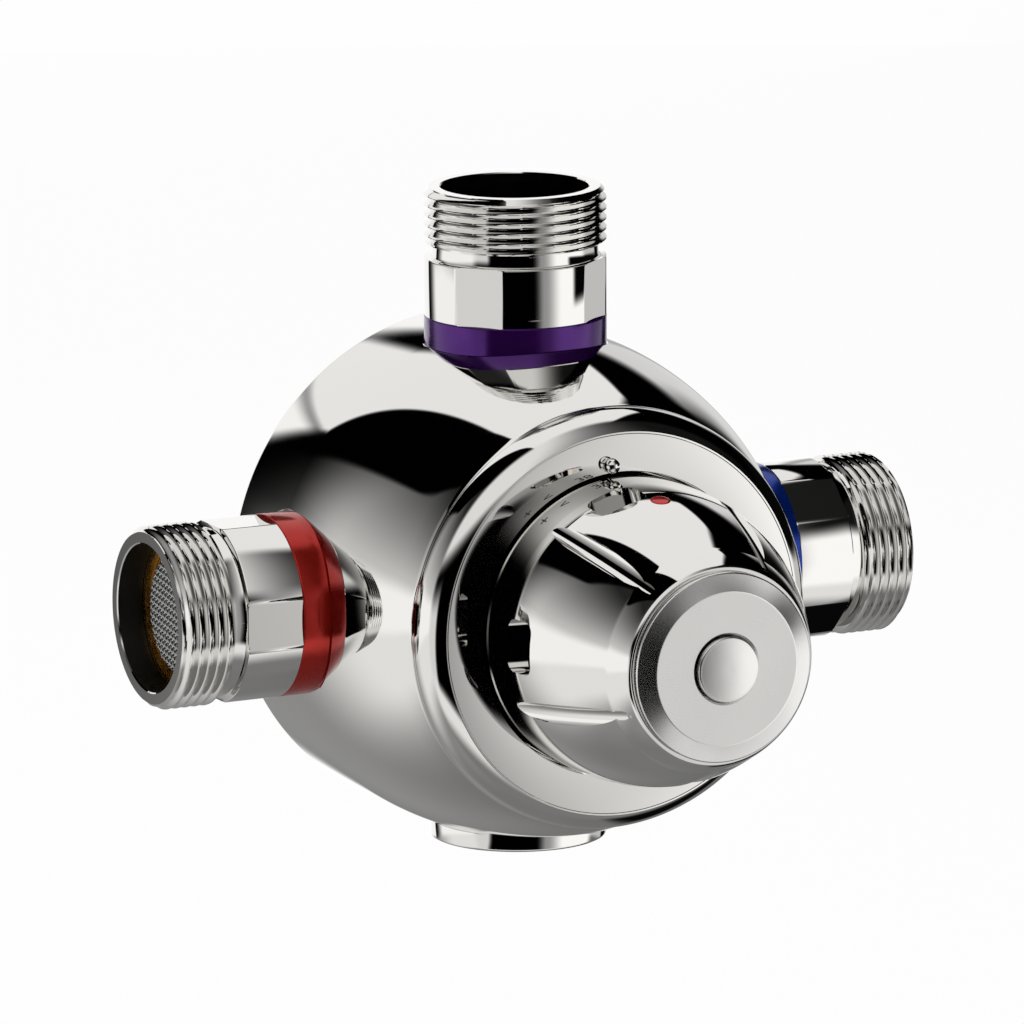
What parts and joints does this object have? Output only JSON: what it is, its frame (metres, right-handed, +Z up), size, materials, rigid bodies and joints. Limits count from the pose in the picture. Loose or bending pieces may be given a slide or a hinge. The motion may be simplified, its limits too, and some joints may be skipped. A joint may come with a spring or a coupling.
{
  "type": "thermostatic mixing valve",
  "caption": "Round chrome mixing valve for a water main, with hot and cold inlets at the sides, a mixed outlet on top and a fluted control knob in front",
  "frame": {"origin": "middle of the flat back face, on the control axis", "axes": "+Z up along the mixed outlet, +X towards the cold inlet, +Y into the wall; the knob faces -Y"},
  "size_m": [0.185, 0.1376, 0.1512],
  "materials": {
    "chrome_plate": "mirror-polished chrome plate on brass",
    "red_ring": "glossy red ring",
    "blue_ring": "glossy deep blue ring",
    "violet_ring": "glossy dark violet ring",
    "red_enamel": "red enamel dot",
    "clip_steel": "dark phosphated spring steel",
    "brass": "machined brass",
    "steel_mesh": "woven stainless wire",
    "spring_steel": "bright stainless steel",
    "moulding": "dark grey engineering moulding",
    "seal_rubber": "black rubber seal"
  },
  "bodies": {
    "valve_body": {"body_casting": "chrome_plate", "face_ring": "chrome_plate", "index_stud": "chrome_plate", "blanking_plug": "chrome_plate", "plug_o_ring": "seal_rubber", "cartridge_sleeve": "moulding", "sleeve_o_ring_back": "seal_rubber", "sleeve_o_ring_middle": "seal_rubber", "sleeve_o_ring_front": "seal_rubber", "hot_seat": "spring_steel", "cold_seat": "spring_steel", "return_spring": "spring_steel", "bonnet": "brass", "bonnet_o_ring": "seal_rubber", "stop_ring": "moulding", "hot_connector": "chrome_plate", "cold_connector": "chrome_plate", "outlet_connector": "chrome_plate", "hot_ring": "red_ring", "cold_ring": "blue_ring", "outlet_ring": "violet_ring", "hot_o_ring": "seal_rubber", "cold_o_ring": "seal_rubber", "outlet_o_ring": "seal_rubber", "hot_circlip": "clip_steel", "cold_circlip": "clip_steel", "hot_filter_ring": "brass", "cold_filter_ring": "brass", "hot_filter_mesh": "steel_mesh", "cold_filter_mesh": "steel_mesh", "hot_check_body": "moulding", "cold_check_body": "moulding", "hot_check_spring": "spring_steel", "cold_check_spring": "spring_steel"},
    "control_knob": {"knob": "chrome_plate", "index_dot": "red_enamel", "knob_cap": "chrome_plate", "knob_screw": "spring_steel", "button_spring": "spring_steel", "spindle": "brass", "spindle_o_ring_inner": "seal_rubber", "spindle_o_ring_outer": "seal_rubber"},
    "button": {"push_button": "chrome_plate"},
    "nut": {"drive_nut": "brass", "retaining_ring": "spring_steel", "thrust_disc": "brass", "overtravel_spring": "spring_steel", "wax_piston": "spring_steel"},
    "shuttle_unit": {"shuttle": "moulding", "shuttle_o_ring": "seal_rubber", "wax_element": "brass"},
    "hot_poppet": {"hot_check_poppet": "moulding"},
    "cold_poppet": {"cold_check_poppet": "moulding"}
  },
  "joints": [
    {"name": "knob_turn", "type": "hinge", "parent": "valve_body", "child": "control_knob", "pos_m": [0, -0.1, 0], "axis": [0, 1, 0], "range_deg": [-150, 34]},
    {"name": "button_press", "type": "slide", "parent": "control_knob", "child": "button", "axis": [0, 1, 0], "range_m": [0, 0.0025], "stiffness_N_per_m": 1200, "springref_m": -0.003, "deforming": ["button_spring"]},
    {"name": "nut_travel", "type": "slide", "parent": "valve_body", "child": "nut", "axis": [0, -1, 0], "range_m": [-0.00168, 0.0004], "deforming": ["return_spring"]},
    {"name": "wax_stroke", "type": "slide", "parent": "nut", "child": "shuttle_unit", "axis": [0, 1, 0], "range_m": [-0.0006, 0.0006], "stiffness_N_per_m": 4000},
    {"name": "hot_check", "type": "slide", "parent": "valve_body", "child": "hot_poppet", "axis": [1, 0, 0], "range_m": [0, 0.004], "stiffness_N_per_m": 300, "springref_m": -0.003, "deforming": ["hot_check_spring"]},
    {"name": "cold_check", "type": "slide", "parent": "valve_body", "child": "cold_poppet", "axis": [-1, 0, 0], "range_m": [0, 0.004], "stiffness_N_per_m": 300, "springref_m": -0.003, "deforming": ["cold_check_spring"]}
  ],
  "couplings": [
    {"joint": "nut_travel", "follows": "knob_turn", "m_per_rad": 0.00063662}
  ]
}
